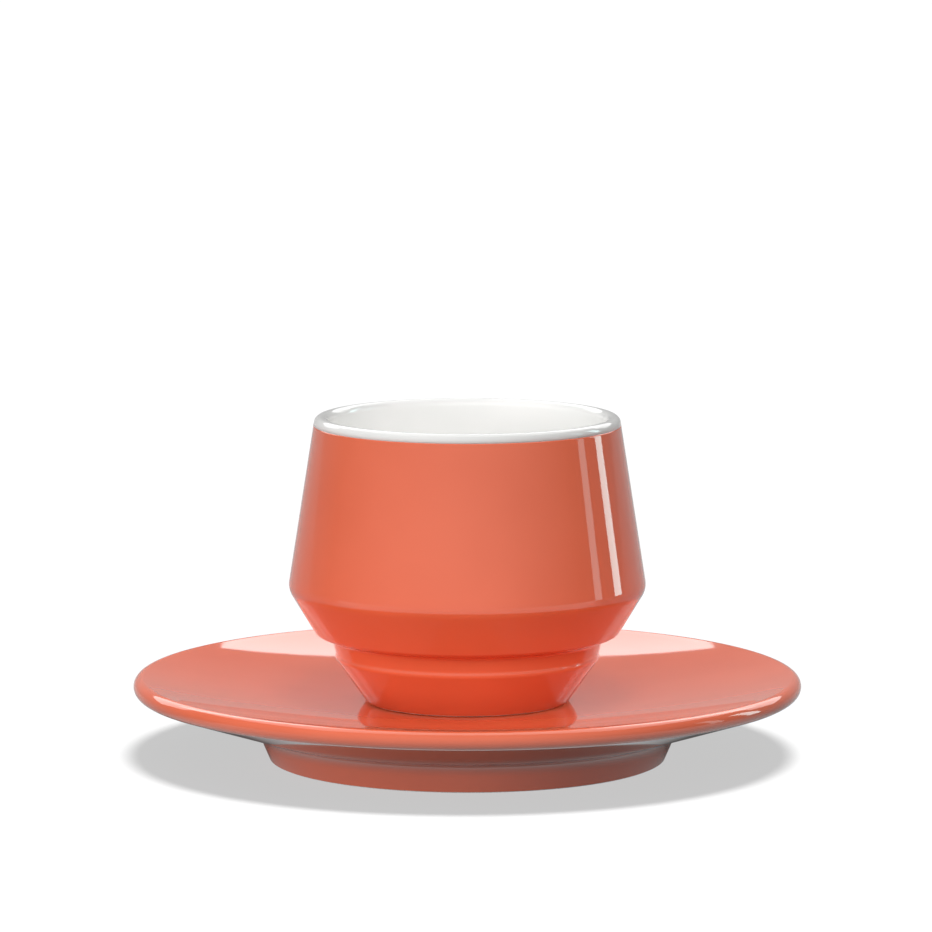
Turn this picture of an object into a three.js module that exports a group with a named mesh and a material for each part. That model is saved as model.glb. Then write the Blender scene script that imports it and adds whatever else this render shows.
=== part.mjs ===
// A double espresso cup standing on its saucer: two porcelain bodies under coral and white glaze.
// Millimetres, +Z up. The origin is on the table, under the middle of the saucer.
import * as THREE from 'three';

// Saucer, with heights above the table
const saucerRadius = 67.5;
const saucerHeight = 16.8;         // crest of the rim
const saucerRimRound = 1.8;        // the rim is a full round of this radius
const wellHeight = 11.44;          // lowest place of the dish
const wellRadius = 15;             // flat of the well, from which the dish sweeps up to the rim
const saucerFloor = 5;             // thickness under the well
const saucerFootRadius = 40;       // at the table
const saucerFootFlare = 2.4;       // how much wider the foot is where it meets the underside
const saucerFootHeight = 5.6;
const saucerFootCove = 5;
const saucerFootRing = 4;          // width of the ring that the saucer stands on
const saucerRecessRound = 3;

// Cup, from its foot up
const cupHeight = 57.9;
const cupWall = 2.9;
const cupFloor = 5;                // inside floor above the foot
const cupFootRadius = 20.5;
const cupFootRing = 3.5;
const cupFootRecess = 2;
const cupRecessRound = 1;
const ridgeRadius = 26.8;          // top of the lower cone, which nests in the mouth of a cup below
const ridgeHeight = 9;
const ridgeRound = 0.6;
const neckDepth = 0.15;            // how far the neck is drawn in behind the ridge
const neckRise = 0.9;              // from the ridge to the narrowest place of the neck
const neckHeight = 3.85;           // from the ridge to the stacking ledge
const neckFlare = 0.75;            // how much the neck widens up to the ledge
const neckRound = 1.5;
const ledgeWidth = 3.2;            // the ledge stands on the lip of a cup below
const ledgeRise = 0.95;
const ledgeRound = 1.3;
const stepRound = 1.6;             // outer edge of the ledge
const middleHeight = 9.25;         // from the ledge's edge to the shoulder
const shoulderRadius = 36.2;       // widest place
const shoulderRound = 3.85;
const mouthRadius = 30.7;          // outside of the wall, carried up to the top of the lip
const lipRound = 1.35;
const insideFloorRound = 8;
const insideNeckRound = 12;
const insideShoulderRound = 9;

// Glaze and fit
const glaze = 0.3;                 // thickness of both glazes
const whiteBand = 1.75;            // height of the white lip above the coral glaze
const dryFoot = 0.3;               // bare porcelain above each foot's standing face
const footEdgeRound = 0.4;
const seatGap = 0.2;               // between the outer edge of the cup's foot and the dish

// Fineness of the turned shapes
const turnSteps = 36;
const arcTurn = THREE.MathUtils.degToRad(30);   // most that a rounding turns in one step
const arcLength = 8;                            // longest step along a rounding
const shortestStep = 0.01;

// Rounds the corners of a section outline. A corner is [radius, height, rounding].
// Where a side is too short for the roundings at its two ends, they share its length.
function roundedOutline(corners) {
  const points = corners.map(([r, z]) => new THREE.Vector2(r, z));
  const reaches = corners.map(([, , rounding = 0], i) => {
    if (rounding === 0) {
      return 0;
    }
    const back = points[i - 1].clone().sub(points[i]);
    const ahead = points[i + 1].clone().sub(points[i]);
    return rounding / Math.tan(back.angleTo(ahead) / 2);
  });

  const outline = [];
  points.forEach((corner, i) => {
    if (reaches[i] === 0) {
      outline.push(corner);
      return;
    }
    const back = points[i - 1].clone().sub(corner);
    const ahead = points[i + 1].clone().sub(corner);
    const halfAngle = back.angleTo(ahead) / 2;
    const roomBack = back.length() / (reaches[i - 1] + reaches[i]);
    const roomAhead = ahead.length() / (reaches[i] + reaches[i + 1]);
    const reach = reaches[i] * Math.min(1, roomBack, roomAhead);
    const radius = reach * Math.tan(halfAngle);
    const sweep = Math.PI - 2 * halfAngle;
    const turn = back.cross(ahead) < 0 ? sweep : -sweep;
    back.normalize();
    ahead.normalize();
    const centre = back.clone().add(ahead).setLength(radius / Math.sin(halfAngle)).add(corner);
    const start = back.multiplyScalar(reach).add(corner);
    const steps = Math.ceil(Math.max(sweep / arcTurn, radius * sweep / arcLength));
    for (let step = 0; step <= steps; step++) {
      outline.push(start.clone().rotateAround(centre, turn * step / steps));
    }
  });
  return outline.filter((point, i) => i === 0 || point.distanceTo(outline[i - 1]) > shortestStep);
}

// The same outline, moved in by a depth: the face of the body under a glaze.
function inset(outline, depth) {
  const inward = (from, to) => new THREE.Vector2(from.y - to.y, to.x - from.x).normalize();
  const sides = outline.slice(1).map((point, i) => inward(outline[i], point));
  return outline.map((point, i) => {
    const before = sides[Math.max(i - 1, 0)];
    const after = sides[Math.min(i, sides.length - 1)];
    const mitre = before.clone().add(after);
    return point.clone().addScaledVector(mitre, 2 * depth / mitre.lengthSq());
  });
}

// Where the straight line through two corners crosses a height.
function radiusAt(height, low, high) {
  return low[0] + (high[0] - low[0]) * (height - low[1]) / (high[1] - low[1]);
}

function turned(name, outline, material) {
  const geometry = new THREE.LatheGeometry(outline, turnSteps);
  geometry.rotateX(Math.PI / 2);
  const mesh = new THREE.Mesh(geometry, material);
  mesh.name = name;
  return mesh;
}

// A glaze coat that closes on itself, between its own face and the body's.
function ringCoat(face, backing) {
  return [...face, ...backing.toReversed(), face[0]];
}

// A glaze coat that reaches the axis, with its own face on top.
function dishCoat(face, backing) {
  return [...backing.toReversed(), ...face];
}

// A glaze coat that reaches the axis, with its own face underneath.
function recessCoat(face, backing) {
  return [...face, ...backing.toReversed()];
}

function porcelain() {
  return new THREE.MeshStandardMaterial({ color: '#ece8df', roughness: 0.6, metalness: 0 });
}

function coralGlaze() {
  return new THREE.MeshStandardMaterial({ color: '#de4a2b', roughness: 0.08, metalness: 0 });
}

function whiteGlaze() {
  return new THREE.MeshStandardMaterial({ color: '#f3f2ef', roughness: 0.08, metalness: 0 });
}

// The recess in a foot, glazed down to the bare band above the standing face.
function recessOutline(height, rounding, ringInside) {
  return roundedOutline([
    [0, height],
    [ringInside, height, rounding],
    [ringInside, dryFoot],
  ]);
}

// The bare ring that a body stands on, between the edges of the glaze inside and outside it.
function standingRing(insideEdge, ringOutside, outsideEdge) {
  return roundedOutline([
    [insideEdge.x, insideEdge.y],
    [insideEdge.x, 0, footEdgeRound],
    [ringOutside, 0, footEdgeRound],
    [outsideEdge.x, outsideEdge.y],
  ]);
}

// The dish is one sweep, level at the well's edge, that meets the round of the rim.
const rim = new THREE.Vector2(saucerRadius - saucerRimRound, saucerHeight - saucerRimRound);
const dishAcross = rim.x - wellRadius;
const dishRise = rim.y - wellHeight;
const dishSweep = (dishAcross ** 2 + dishRise ** 2 - saucerRimRound ** 2) / (2 * (dishRise + saucerRimRound));

function dishHeight(radius) {
  const out = Math.max(0, radius - wellRadius);
  return wellHeight + dishSweep - Math.sqrt(dishSweep ** 2 - out ** 2);
}

function makeSaucer() {
  const footBottom = [saucerFootRadius, 0];
  const footTop = [saucerFootRadius + saucerFootFlare, saucerFootHeight];

  // The underside runs straight from the top of the foot and meets the round of the rim.
  const toRim = rim.clone().sub(new THREE.Vector2(...footTop));
  const underSlope = Math.acos(saucerRimRound / toRim.length()) - Math.atan2(toRim.x, toRim.y);

  const dishSlope = Math.atan2(dishAcross, dishSweep - dishRise);
  const rimUnder = saucerRimRound * Math.tan(Math.PI / 4 - underSlope / 2);
  const rimOver = saucerRimRound * Math.tan(Math.PI / 4 + dishSlope / 2);
  const dishCorner = wellRadius + dishSweep * Math.tan(dishSlope / 2);
  const face = roundedOutline([
    [radiusAt(dryFoot, footBottom, footTop), dryFoot],
    [...footTop, saucerFootCove],
    [saucerRadius, rim.y - rimUnder, saucerRimRound],
    [saucerRadius, rim.y + rimOver, saucerRimRound],
    [dishCorner, wellHeight, dishSweep],
    [0, wellHeight],
  ]);
  const backing = inset(face, glaze);
  const recess = recessOutline(wellHeight - saucerFloor, saucerRecessRound, saucerFootRadius - saucerFootRing);
  const recessBacking = inset(recess, glaze);
  const ring = standingRing(recessBacking.at(-1), saucerFootRadius - glaze, backing[0]);

  const saucer = new THREE.Group();
  const body = [...recessBacking, ...ring.slice(1), ...backing.slice(1)];
  saucer.add(turned('saucer_body', body, porcelain()));
  saucer.add(turned('saucer_coral_glaze', dishCoat(face, backing), coralGlaze()));
  saucer.add(turned('saucer_recess_glaze', recessCoat(recess, recessBacking), coralGlaze()));
  return saucer;
}

function makeCup() {
  const footCorner = [cupFootRadius, 0];
  const ridge = [ridgeRadius, ridgeHeight];
  const neck = [ridgeRadius - neckDepth, ridgeHeight + neckRise];
  const ledge = [neck[0] + neckFlare, ridgeHeight + neckHeight];
  const step = [ledge[0] + ledgeWidth, ledge[1] + ledgeRise];
  const shoulder = [shoulderRadius, step[1] + middleHeight];
  const mouth = [mouthRadius, cupHeight];
  const bandHeight = cupHeight - whiteBand;
  const band = [radiusAt(bandHeight, shoulder, mouth), bandHeight];

  const outside = roundedOutline([
    [radiusAt(dryFoot, footCorner, ridge), dryFoot],
    [...ridge, ridgeRound],
    [...neck, neckRound],
    [...ledge, ledgeRound],
    [...step, stepRound],
    [...shoulder, shoulderRound],
    band,
  ]);
  const inside = roundedOutline([
    band,
    [...mouth, lipRound],
    [mouthRadius - cupWall, cupHeight, lipRound],
    [shoulderRadius - cupWall, shoulder[1], insideShoulderRound],
    [neck[0] - cupWall, ledge[1], insideNeckRound],
    [cupFootRadius - cupWall, cupFloor, insideFloorRound],
    [0, cupFloor],
  ]);
  const outsideBacking = inset(outside, glaze);
  const insideBacking = inset(inside, glaze);
  const recess = recessOutline(cupFootRecess, cupRecessRound, cupFootRadius - cupFootRing);
  const recessBacking = inset(recess, glaze);
  const ring = standingRing(recessBacking.at(-1), cupFootRadius - glaze, outsideBacking[0]);

  const cup = new THREE.Group();
  const body = [...recessBacking, ...ring.slice(1), ...outsideBacking.slice(1), ...insideBacking.slice(1)];
  cup.add(turned('cup_body', body, porcelain()));
  cup.add(turned('cup_coral_glaze', ringCoat(outside, outsideBacking), coralGlaze()));
  cup.add(turned('cup_white_glaze', dishCoat(inside, insideBacking), whiteGlaze()));
  cup.add(turned('cup_recess_glaze', recessCoat(recess, recessBacking), coralGlaze()));
  return cup;
}

const set = new THREE.Group();
const cup = makeCup();
cup.position.z = dishHeight(cupFootRadius) + seatGap;
set.add(makeSaucer(), cup);

export default set;
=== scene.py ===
import bpy
import math
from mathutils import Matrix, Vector


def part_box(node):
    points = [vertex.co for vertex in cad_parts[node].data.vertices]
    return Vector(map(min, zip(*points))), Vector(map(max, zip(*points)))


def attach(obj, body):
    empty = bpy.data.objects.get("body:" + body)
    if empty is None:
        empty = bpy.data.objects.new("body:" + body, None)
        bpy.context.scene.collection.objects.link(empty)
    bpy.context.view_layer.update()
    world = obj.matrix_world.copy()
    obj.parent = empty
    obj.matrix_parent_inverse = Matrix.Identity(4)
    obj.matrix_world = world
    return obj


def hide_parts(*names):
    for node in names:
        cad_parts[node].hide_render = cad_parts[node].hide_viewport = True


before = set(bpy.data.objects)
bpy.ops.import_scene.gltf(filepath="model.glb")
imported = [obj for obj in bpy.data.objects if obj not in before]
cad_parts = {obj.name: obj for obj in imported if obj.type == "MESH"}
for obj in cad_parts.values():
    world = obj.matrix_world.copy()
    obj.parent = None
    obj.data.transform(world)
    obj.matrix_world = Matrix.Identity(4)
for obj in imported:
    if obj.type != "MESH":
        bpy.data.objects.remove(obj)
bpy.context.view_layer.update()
mm = 0.001
print("frame loaded:", ", ".join(sorted(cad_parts)))


# Drawing of the turned pieces
turning = {
    "steps": 192,               # around the axis
    "arcStep": 5,               # degrees along a rounding
    "arcLength": 2.5,           # mm, longest step along a wide sweep
    "support": 0.3,             # mm, loops beside each rounding keep the straight walls straight
    "supported": 0.9,           # mm, shortest wall that has them
    "weld": 0.001,              # mm
}


def roundCorner(before, corner, after, rounding):
    # where a rounding starts, what it turns about, and how far it turns to the left
    back = (before - corner).normalized()
    ahead = (after - corner).normalized()
    halfAngle = back.angle(ahead) / 2
    centre = corner + (back + ahead).normalized() * rounding / math.sin(halfAngle)
    sweep = math.pi - 2 * halfAngle
    leftTurn = back.cross(ahead).y > 0
    return corner + back * rounding / math.tan(halfAngle), centre, sweep if leftTurn else -sweep


def extrudeTo(here, there):
    # one straight stretch of the section, with a support loop near each end if there is room
    length = (there - here).length
    support = turning["support"] * mm
    shortest = turning["supported"] * mm
    stops = [there]
    if length > shortest:
        stops = [here.lerp(there, support / length), there.lerp(here, support / length), there]
    for stop in stops:
        bpy.ops.mesh.extrude_vertices_move(TRANSFORM_OT_translate={"value": stop - here})
        here = stop
    return there


def turnPiece(name, corners, lift=0):
    # draws a section of [radius, height, rounding] in mm with the solid on its left, and spins it
    points = [Vector((radius * mm, 0, height * mm + lift)) for radius, height, rounding in corners]
    bpy.ops.object.select_all(action="DESELECT")
    bpy.ops.mesh.primitive_plane_add(size=mm)
    piece = bpy.context.object
    piece.name = name
    piece.data.name = name
    bpy.ops.object.mode_set(mode="EDIT")
    bpy.ops.mesh.merge(type="CENTER")
    bpy.ops.transform.translate(value=points[0])
    here = points[0]
    for i in range(1, len(points)):
        rounding = corners[i][2] * mm
        if rounding == 0:
            here = extrudeTo(here, points[i])
            continue
        start, centre, turn = roundCorner(points[i - 1], points[i], points[i + 1], rounding)
        extrudeTo(here, start)
        byAngle = abs(math.degrees(turn)) / turning["arcStep"]
        byLength = abs(turn) * rounding / (turning["arcLength"] * mm)
        steps = math.ceil(max(byAngle, byLength))
        bpy.ops.mesh.spin(steps=steps, angle=turn, center=centre, axis=(0, 1, 0))
        reach = (start - points[i]).length
        here = points[i] + (points[i + 1] - points[i]).normalized() * reach
    bpy.ops.mesh.select_all(action="SELECT")
    bpy.ops.mesh.spin(steps=turning["steps"], angle=2 * math.pi, center=(0, 0, 0), axis=(0, 0, 1))
    bpy.ops.mesh.select_all(action="SELECT")
    bpy.ops.mesh.remove_doubles(threshold=turning["weld"] * mm)
    bpy.ops.mesh.normals_make_consistent(inside=False)
    bpy.ops.object.mode_set(mode="OBJECT")
    bpy.ops.object.shade_smooth()
    print("turned", name, "with", len(piece.data.polygons), "faces")
    return piece


def insetCorners(corners, paintedGlossRamp):
    # the same section moved in by a depth; its outer roundings shrink and its hollow ones grow
    points = [Vector((radius, 0, height)) for radius, height, rounding in corners]
    inward = []
    for here, there in zip(points, points[1:]):
        along = (there - here).normalized()
        inward.append(Vector((-along.z, 0, along.x)))
    moved = []
    for i, point in enumerate(points):
        before = inward[max(i - 1, 0)]
        after = inward[min(i, len(inward) - 1)]
        mitre = before + after
        point = point + mitre * 2 * paintedGlossRamp / mitre.length_squared
        rounding = corners[i][2]
        if rounding:
            rounding += paintedGlossRamp if before.cross(after).y > 0 else -paintedGlossRamp
        moved.append([point.x, point.z, rounding])
    return moved


# Glaze on both pieces
glazing = {
    "thickness": 0.3,           # mm
    "dryFoot": 0.15,            # bare porcelain above each standing face
    "bead": 0.07,               # rounding of the glaze's free edge
    "footEdge": 0.13,           # rounding of the bare ring's edges
}


def coatOver(face):
    # from the back of the glaze to its face, with a soft bead where they meet at the foot
    back = insetCorners(face, glazing["thickness"])
    freeEdge = [face[0][0], face[0][1], glazing["bead"]]
    return back[::-1] + [freeEdge] + face[1:]


def coatInRecess(face):
    back = insetCorners(face, glazing["thickness"])
    freeEdge = [face[-1][0], face[-1][1], glazing["bead"]]
    return face[:-1] + [freeEdge] + back[::-1]


def recessFace(height, rounding, ringInside):
    return [[0, height, 0], [ringInside, height, rounding], [ringInside, glazing["dryFoot"], 0]]


def standingRing(recessBack, ringOutside):
    ringInside = recessBack[-1][0]
    return recessBack[:-1] + [[ringInside, 0, glazing["footEdge"]], [ringOutside, 0, glazing["footEdge"]]]


def radiusAt(height, low, high):
    return low[0] + (high[0] - low[0]) * (height - low[1]) / (high[1] - low[1])


# Saucer, heights in mm above the table
saucer = {
    "radius": 67.5,
    "height": 16.8,             # crest of the rim
    "rimRound": 1.8,
    "wellHeight": 11.44,
    "wellRadius": 15,
    "floor": 5,
    "footRadius": 40,
    "footFlare": 2.4,
    "footHeight": 5.6,
    "footCove": 5,
    "footRing": 4,
    "recessRound": 3,
}


def saucerFace():
    # up the foot, out along the underside, over the rim and down the dish to the well
    rimRound = saucer["rimRound"]
    rimX = saucer["radius"] - rimRound
    rimZ = saucer["height"] - rimRound
    footTop = [saucer["footRadius"] + saucer["footFlare"], saucer["footHeight"]]
    across = rimX - saucer["wellRadius"]
    rise = rimZ - saucer["wellHeight"]
    sweep = (across ** 2 + rise ** 2 - rimRound ** 2) / (2 * (rise + rimRound))
    dishSlope = math.atan2(across, sweep - rise)
    outX = rimX - footTop[0]
    outZ = rimZ - footTop[1]
    underSlope = math.acos(rimRound / math.hypot(outX, outZ)) - math.atan2(outX, outZ)
    glazeEdge = radiusAt(glazing["dryFoot"], [saucer["footRadius"], 0], footTop)
    return [
        [glazeEdge, glazing["dryFoot"], 0],
        [*footTop, saucer["footCove"]],
        [saucer["radius"], rimZ - rimRound * math.tan(math.pi / 4 - underSlope / 2), rimRound],
        [saucer["radius"], rimZ + rimRound * math.tan(math.pi / 4 + dishSlope / 2), rimRound],
        [saucer["wellRadius"] + sweep * math.tan(dishSlope / 2), saucer["wellHeight"], sweep],
        [0, saucer["wellHeight"], 0],
    ]


thickness = glazing["thickness"]
dishFace = saucerFace()
dishBack = insetCorners(dishFace, thickness)
saucerRecess = recessFace(
    saucer["wellHeight"] - saucer["floor"],
    saucer["recessRound"],
    saucer["footRadius"] - saucer["footRing"],
)
saucerRecessBack = insetCorners(saucerRecess, thickness)
saucerRing = standingRing(saucerRecessBack, saucer["footRadius"] - thickness)
saucerBody = turnPiece("saucer_biscuit", saucerRing + dishBack)
saucerGlaze = turnPiece("saucer_glaze", coatOver(dishFace))
saucerRecessGlaze = turnPiece("saucer_foot_glaze", coatInRecess(saucerRecess))


# Cup, heights in mm above its own foot
cup = {
    "height": 57.9,
    "wall": 2.9,
    "floor": 5,
    "footRadius": 20.5,
    "footRing": 3.5,
    "footRecess": 2,
    "recessRound": 1,
    "ridge": [26.8, 9, 1.1],        # radius, height and rounding of each corner going up
    "neck": [26.65, 9.9, 1.5],
    "ledge": [27.4, 12.85, 1.3],
    "step": [30.6, 13.8, 1.6],
    "shoulder": [36.2, 23.05, 3.85],
    "mouthRadius": 30.7,
    "lipRound": 1.35,
    "whiteBand": 1.75,              # white lip above the coral
    "insideShoulderRound": 9,
    "insideNeckRound": 12,
    "insideFloorRound": 8,
}
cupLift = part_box("cup_body")[0].z   # the cup stands in the well

mouth = [cup["mouthRadius"], cup["height"]]
bandHeight = cup["height"] - cup["whiteBand"]
band = [radiusAt(bandHeight, cup["shoulder"], mouth), bandHeight, 0]
coralEdge = radiusAt(glazing["dryFoot"], [cup["footRadius"], 0], cup["ridge"])
outside = [
    [coralEdge, glazing["dryFoot"], 0],
    cup["ridge"],
    cup["neck"],
    cup["ledge"],
    cup["step"],
    cup["shoulder"],
    band,
]
inside = [
    band,
    [*mouth, cup["lipRound"]],
    [cup["mouthRadius"] - cup["wall"], cup["height"], cup["lipRound"]],
    [cup["shoulder"][0] - cup["wall"], cup["shoulder"][1], cup["insideShoulderRound"]],
    [cup["neck"][0] - cup["wall"], cup["ledge"][1], cup["insideNeckRound"]],
    [cup["footRadius"] - cup["wall"], cup["floor"], cup["insideFloorRound"]],
    [0, cup["floor"], 0],
]
outsideBack = insetCorners(outside, thickness)
insideBack = insetCorners(inside, thickness)
cupRecess = recessFace(cup["footRecess"], cup["recessRound"], cup["footRadius"] - cup["footRing"])
cupRecessBack = insetCorners(cupRecess, thickness)
cupRing = standingRing(cupRecessBack, cup["footRadius"] - thickness)
coralSection = coatOver(outside)
cupBody = turnPiece("cup_biscuit", cupRing + outsideBack + insideBack[1:], cupLift)
cupGlaze = turnPiece("cup_coral", coralSection + coralSection[:1], cupLift)
cupWhite = turnPiece("cup_white", insideBack[::-1] + inside, cupLift)
cupRecessGlaze = turnPiece("cup_foot_glaze", coatInRecess(cupRecess), cupLift)


# Materials
def linearColour(hexText):
    parts = [int(hexText[i:i + 2], 16) / 255 for i in (1, 3, 5)]
    return [p / 12.92 if p <= 0.04045 else ((p + 0.055) / 1.055) ** 2.4 for p in parts] + [1]


def addNode(tree, kind, inputs, **settings):
    node = tree.nodes.new(kind)
    for name, value in settings.items():
        setattr(node, name, value)
    for name, value in inputs.items():
        if isinstance(value, bpy.types.NodeSocket):
            tree.links.new(value, node.inputs[name])
        else:
            node.inputs[name].default_value = value
    return node


def newMaterial(name):
    material = bpy.data.materials.new(name)
    material.use_nodes = True
    material.node_tree.nodes.clear()
    return material, material.node_tree


def finishMaterial(tree, shader):
    addNode(tree, "ShaderNodeOutputMaterial", {"Surface": shader})


def addNoise(tree, size, detail):
    # blobs of about this many mm, fixed to the piece
    place = addNode(tree, "ShaderNodeTexCoord", {}).outputs["Object"]
    noise = addNode(tree, "ShaderNodeTexNoise", {
        "Vector": place,
        "Scale": 1 / (size * mm),
        "Detail": detail,
    })
    return noise.outputs["Fac"]


def addRamp(tree, factor, shades, positions):
    ramp = addNode(tree, "ShaderNodeValToRGB", {"Fac": factor})
    for element, shade, position in zip(ramp.color_ramp.elements, shades, positions):
        element.color = linearColour(shade)
        element.position = position
    return ramp.outputs["Color"]


def addBump(tree, height, paintedGlossRamp):
    bump = addNode(tree, "ShaderNodeBump", {"Height": height, "Strength": 1, "Distance": paintedGlossRamp * mm})
    return bump.outputs["Normal"]


# Fired gloss glaze: a glassy, slightly rippled skin over opaque pigment, with faint clouding
glazeLook = {
    "cloudDetail": 2,
    "cloudRange": [0.35, 0.65],         # of the noise, from the first shade to the second
    "glossRange": [0.3, 0.7],           # of the noise, from the glossiest to the dullest
    "roughness": [0.03, 0.06],
    "rippleSize": 7,                    # mm
    "rippleDetail": 1,
    "rippleDepth": 0.004,               # mm
    "ior": 1.5,
}


def glossGlaze(name, shades, cloudSize):
    material, tree = newMaterial(name)
    cloud = addNoise(tree, cloudSize, glazeLook["cloudDetail"])
    ripple = addNoise(tree, glazeLook["rippleSize"], glazeLook["rippleDetail"])
    gloss = addNode(tree, "ShaderNodeMapRange", {
        "Value": cloud,
        "From Min": glazeLook["glossRange"][0],
        "From Max": glazeLook["glossRange"][1],
        "To Min": glazeLook["roughness"][0],
        "To Max": glazeLook["roughness"][1],
    })
    glaze = addNode(tree, "ShaderNodeBsdfPrincipled", {
        "Base Color": addRamp(tree, cloud, shades, glazeLook["cloudRange"]),
        "Roughness": gloss.outputs["Result"],
        "IOR": glazeLook["ior"],
        "Normal": addBump(tree, ripple, glazeLook["rippleDepth"]),
    })
    finishMaterial(tree, glaze.outputs["BSDF"])
    return material


# Coral pigment glaze: warm and opaque
coral = glossGlaze("coral_gloss_glaze", shades=["#db6340", "#df6744"], cloudSize=24)

# Clear glaze on white porcelain: a clean, faintly warm white
white = glossGlaze("white_gloss_glaze", shades=["#eeeeec", "#f2f1ef"], cloudSize=18)

# Bare fired porcelain: matt, faintly sandy, greyed a little where it has stood on tables
biscuitLook = {
    "shades": ["#d6cfc4", "#ece7de"],   # worn and clean
    "scuff": 3,                         # mm
    "scuffDetail": 4,
    "scuffRange": [0.3, 0.55],          # of the noise, from worn to clean
    "grain": 0.4,                       # mm
    "grainDetail": 3,
    "grainDepth": 0.02,                 # mm
    "roughness": 0.62,
}


def barePorcelain():
    material, tree = newMaterial("biscuit_porcelain")
    scuff = addNoise(tree, biscuitLook["scuff"], biscuitLook["scuffDetail"])
    grain = addNoise(tree, biscuitLook["grain"], biscuitLook["grainDetail"])
    clay = addNode(tree, "ShaderNodeBsdfPrincipled", {
        "Base Color": addRamp(tree, scuff, biscuitLook["shades"], biscuitLook["scuffRange"]),
        "Roughness": biscuitLook["roughness"],
        "Normal": addBump(tree, grain, biscuitLook["grainDepth"]),
    })
    finishMaterial(tree, clay.outputs["BSDF"])
    return material


biscuit = barePorcelain()

pieces = [
    [saucerBody, biscuit, "saucer", "saucer_body", "porcelain_body"],
    [saucerGlaze, coral, "saucer", "saucer_coral_glaze", "coral_glaze"],
    [saucerRecessGlaze, coral, "saucer", "saucer_recess_glaze", "coral_glaze"],
    [cupBody, biscuit, "cup", "cup_body", "porcelain_body"],
    [cupGlaze, coral, "cup", "cup_coral_glaze", "coral_glaze"],
    [cupWhite, white, "cup", "cup_white_glaze", "white_glaze"],
    [cupRecessGlaze, coral, "cup", "cup_recess_glaze", "coral_glaze"],
]
for piece, material, body, node, slotName in pieces:
    piece.data.materials.append(material)
    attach(piece, body)
    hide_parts(node)
print("pieces dressed:", len(pieces))


# Floor: white to the eye around one soft shadow; in the gloss alone it glows with painted light, bright
# in front, and painted shade, dark under the object's back half and behind it
floorLook = {
    "size": 14,                 # m
    "shade": 0.555,             # level in the shadow
    "lit": 0.47,                # what the shadow lamp adds outside it
    "grey": 0.05,               # colour that the shadow lamp lights; it throws no light back
    # painted glow seen in the gloss alone, standing for a lit floor in front
    "glossPaintedGlow": 1,            # level in the gloss, in front of the object
    "frontAt": -0.045,          # m, where the front ends
    # painted shade seen in the gloss alone, standing for the object's shadow under and behind it
    "glossPaintedShade": 0.1,           # level in the gloss, behind
    "backAt": 0,                # m, where the back starts
}
bpy.ops.object.select_all(action="DESELECT")
bpy.ops.mesh.primitive_plane_add(size=floorLook["size"])
floor = bpy.context.object
floor.name = "floor"
floorMaterial, tree = newMaterial("white_studio_floor")
rays = addNode(tree, "ShaderNodeLightPath", {})
place = addNode(tree, "ShaderNodeTexCoord", {}).outputs["Object"]
axes = addNode(tree, "ShaderNodeSeparateXYZ", {"Vector": place})
# painted reflection: the floor's glow in the gloss, bright in front and painted shade behind
paintedGlossRamp = addNode(tree, "ShaderNodeMapRange", {
    "Value": axes.outputs["Y"],
    "From Min": floorLook["frontAt"],
    "From Max": floorLook["backAt"],
    "To Min": floorLook["glossPaintedGlow"],
    "To Max": floorLook["glossPaintedShade"],
})
inGloss = addNode(tree, "ShaderNodeMath", {
    0: rays.outputs["Is Glossy Ray"],
    1: paintedGlossRamp.outputs["Result"],
}, operation="MULTIPLY")
glow = addNode(tree, "ShaderNodeMath", {
    0: rays.outputs["Is Camera Ray"],
    1: floorLook["shade"],
    2: inGloss.outputs[0],
}, operation="MULTIPLY_ADD")
glowing = addNode(tree, "ShaderNodeEmission", {
    "Color": linearColour("#ffffff"),
    "Strength": glow.outputs[0],
})
seenGrey = addNode(tree, "ShaderNodeMath", {
    0: rays.outputs["Is Diffuse Ray"],
    1: -floorLook["grey"],
    2: floorLook["grey"],
}, operation="MULTIPLY_ADD")
matt = addNode(tree, "ShaderNodeBsdfDiffuse", {"Color": seenGrey.outputs[0]})
both = addNode(tree, "ShaderNodeAddShader", {0: glowing.outputs[0], 1: matt.outputs[0]})
finishMaterial(tree, both.outputs[0])
floor.data.materials.append(floorMaterial)


# World: an even studio with more light from the front and a little from the left
studio = {
    "level": 0.448,             # everywhere
    "front": 0.936,             # added where it is brightest
    "azimuth": -11,             # degrees from the camera's side, to the right
    "elevation": 15,
}


def direction(azimuth, elevation):
    a = math.radians(azimuth)
    e = math.radians(elevation)
    return Vector((math.sin(a) * math.cos(e), -math.cos(a) * math.cos(e), math.sin(e)))


world = bpy.data.worlds.new("studio")
bpy.context.scene.world = world
world.use_nodes = True
tree = world.node_tree
tree.nodes.clear()
rays = addNode(tree, "ShaderNodeLightPath", {})
ray = addNode(tree, "ShaderNodeTexCoord", {}).outputs["Generated"]
facing = addNode(tree, "ShaderNodeVectorMath", {
    0: ray,
    1: direction(studio["azimuth"], studio["elevation"]),
}, operation="DOT_PRODUCT")
ahead = addNode(tree, "ShaderNodeMath", {0: facing.outputs["Value"], 1: 0}, operation="MAXIMUM")
strength = addNode(tree, "ShaderNodeMath", {
    0: ahead.outputs[0],
    1: studio["front"],
    2: studio["level"],
}, operation="MULTIPLY_ADD")
soft = addNode(tree, "ShaderNodeBackground", {
    "Color": linearColour("#ffffff"),
    "Strength": strength.outputs[0],
})
plain = addNode(tree, "ShaderNodeBackground", {"Color": linearColour("#ffffff"), "Strength": 1})
sky = addNode(tree, "ShaderNodeMixShader", {
    0: rays.outputs["Is Camera Ray"],
    1: soft.outputs[0],
    2: plain.outputs[0],
})
addNode(tree, "ShaderNodeOutputWorld", {"Surface": sky.outputs[0]})


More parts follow.
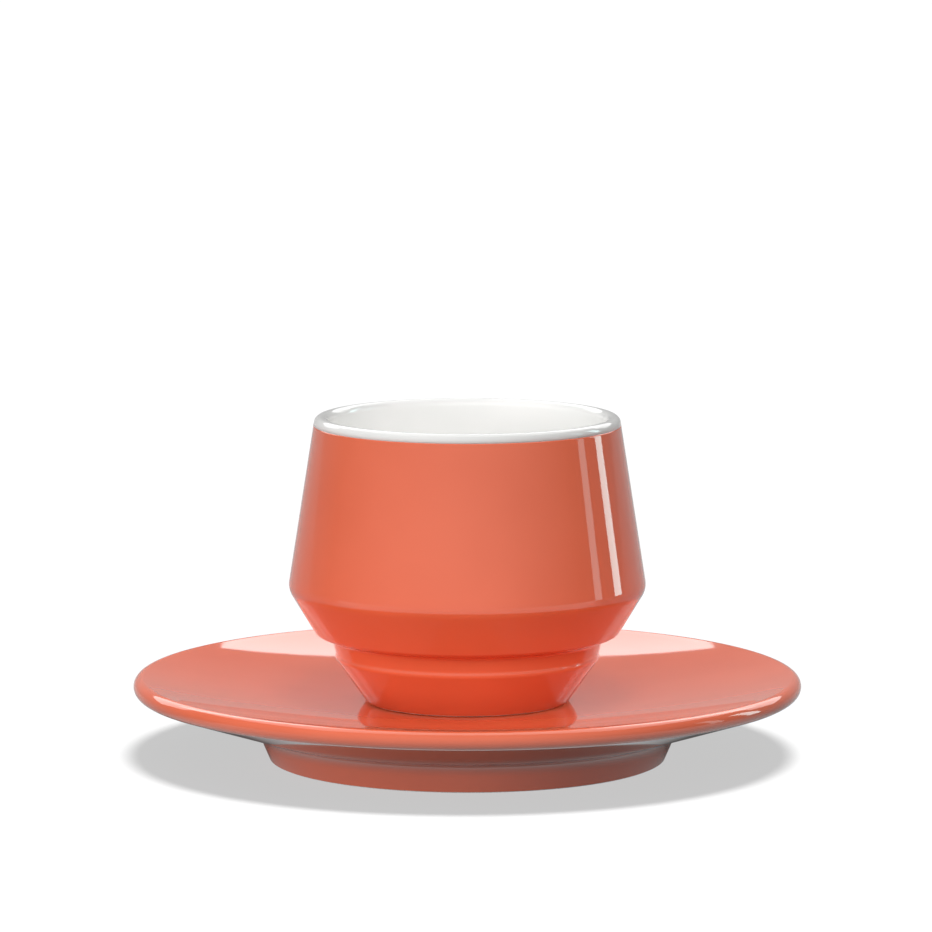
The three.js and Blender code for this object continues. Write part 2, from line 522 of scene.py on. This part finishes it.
# What a lamp can be kept to
litPieces = {
    "floor": [floor],
    "saucer": [saucerBody, saucerGlaze, saucerRecessGlaze],
    "cup": [cupBody, cupGlaze, cupWhite, cupRecessGlaze],
    "wall": [cupGlaze],
    "white": [cupWhite],
}
lightGroups = {}
for name, members in litPieces.items():
    lightGroups[name] = bpy.data.collections.new(name + "_only")
    for member in members:
        lightGroups[name].objects.link(member)

# Lamps: a level of 1 is the light of a white card
overhead = {
    "towards": [0.095, -0.28, 1],
    "angle": 17,                # degrees across, which softens its shadows
    "onSaucer": 0.17,
}

# Panels seen in the gloss alone, placed by azimuth and elevation in degrees and distance in m
coolWhite = "#d4ffff"           # keeps the highlight of a strip from turning pink on the coral
glossPanels = {
    "ceiling": {"from": [180, 66, 1.2], "size": [1.6, 1.4], "level": 2.2},
    "back_panel": {"from": [180, 33, 1.55], "size": [3.2, 0.56], "level": 2.4},
    "dim_strip": {"from": [92.7, 14, 2.4], "size": [0.272, 1.2], "level": 2.3, "colour": coolWhite},
    "bright_strip": {"from": [113.1, 14, 2.4], "size": [0.348, 1.2], "level": 6.2, "colour": coolWhite},
}

# Fills, placed alike: soft light that leaves no highlight
fills = {
    "low_fill": {"from": [-60, 4, 1.4], "size": [0.7, 0.3], "level": 9.5, "lights": "cup"},
    "wall_fill": {"from": [8, 36, 1.4], "size": [0.7, 0.5], "level": 4, "lights": "wall"},
    "back_fill": {"from": [180, 30, 1.4], "size": [0.7, 0.5], "level": 7, "lights": "wall"},
    "foot_fill": {"from": [-53, 6, 1.4], "size": [0.7, 0.2], "level": 15.5, "lights": "saucer"},
    "saucer_fill": {
        "from": [180, 24, 1.6],
        "size": [1.6, 0.8],
        "level": 7,
        "lights": "saucer",
        "shadedBy": "saucer",       # so the cup casts no shadow in it
    },
    "inside_fill": {
        "from": [-12, -14, 0.03],
        "at": [0.003, 0.0285, 0.06],
        "size": [0.03, 0.012],
        "level": 3.1,
        "lights": "white",
    },
}


def addSun(name, level, group):
    towards = Vector(overhead["towards"])
    turn = towards.to_track_quat("Z", "Y").to_euler()
    bpy.ops.object.light_add(type="SUN", location=towards, rotation=turn)
    lamp = bpy.context.object
    lamp.name = name
    lamp.data.energy = level * math.pi
    lamp.data.angle = math.radians(overhead["angle"])
    lamp.visible_glossy = False
    lamp.light_linking.receiver_collection = lightGroups[group]


def addPanel(name, spec, inGloss):
    azimuth, elevation, distance = spec["from"]
    width, height = spec["size"]
    aim = direction(azimuth, elevation)
    bpy.ops.object.light_add(
        type="AREA",
        location=aim * distance + Vector(spec.get("at", [0, 0, 0])),
        rotation=aim.to_track_quat("Z", "Y").to_euler(),
    )
    lamp = bpy.context.object
    lamp.name = name
    lamp.data.shape = "RECTANGLE"
    lamp.data.size = width
    lamp.data.size_y = height
    lamp.data.energy = spec["level"] * math.pi * width * height
    lamp.data.color = linearColour(spec.get("colour", "#ffffff"))[:3]
    lamp.visible_camera = False
    lamp.visible_glossy = inGloss
    lamp.visible_diffuse = not inGloss
    return lamp


addSun("floor_shadow", floorLook["lit"] / floorLook["grey"], "floor")
addSun("overhead", overhead["onSaucer"], "saucer")
for name, spec in glossPanels.items():
    addPanel(name, spec, inGloss=True)
for name, spec in fills.items():
    lamp = addPanel(name, spec, inGloss=False)
    lamp.light_linking.receiver_collection = lightGroups[spec["lights"]]
    if "shadedBy" in spec:
        lamp.light_linking.blocker_collection = lightGroups[spec["shadedBy"]]
print("studio lit:", ", ".join([*glossPanels, *fills]))


# Camera
view = {
    "lens": 224.07,             # mm
    "sensor": 36,               # mm
    "place": [-0.00027, -1.1589, 0.21311],
    "down": 7.5558,             # degrees below level
}
bpy.ops.object.camera_add(location=view["place"], rotation=(math.radians(90 - view["down"]), 0, 0))
camera = bpy.context.object
camera.name = "camera"
camera.data.lens = view["lens"]
camera.data.sensor_width = view["sensor"]
bpy.context.scene.camera = camera

bpy.context.scene.view_settings.view_transform = "Standard"
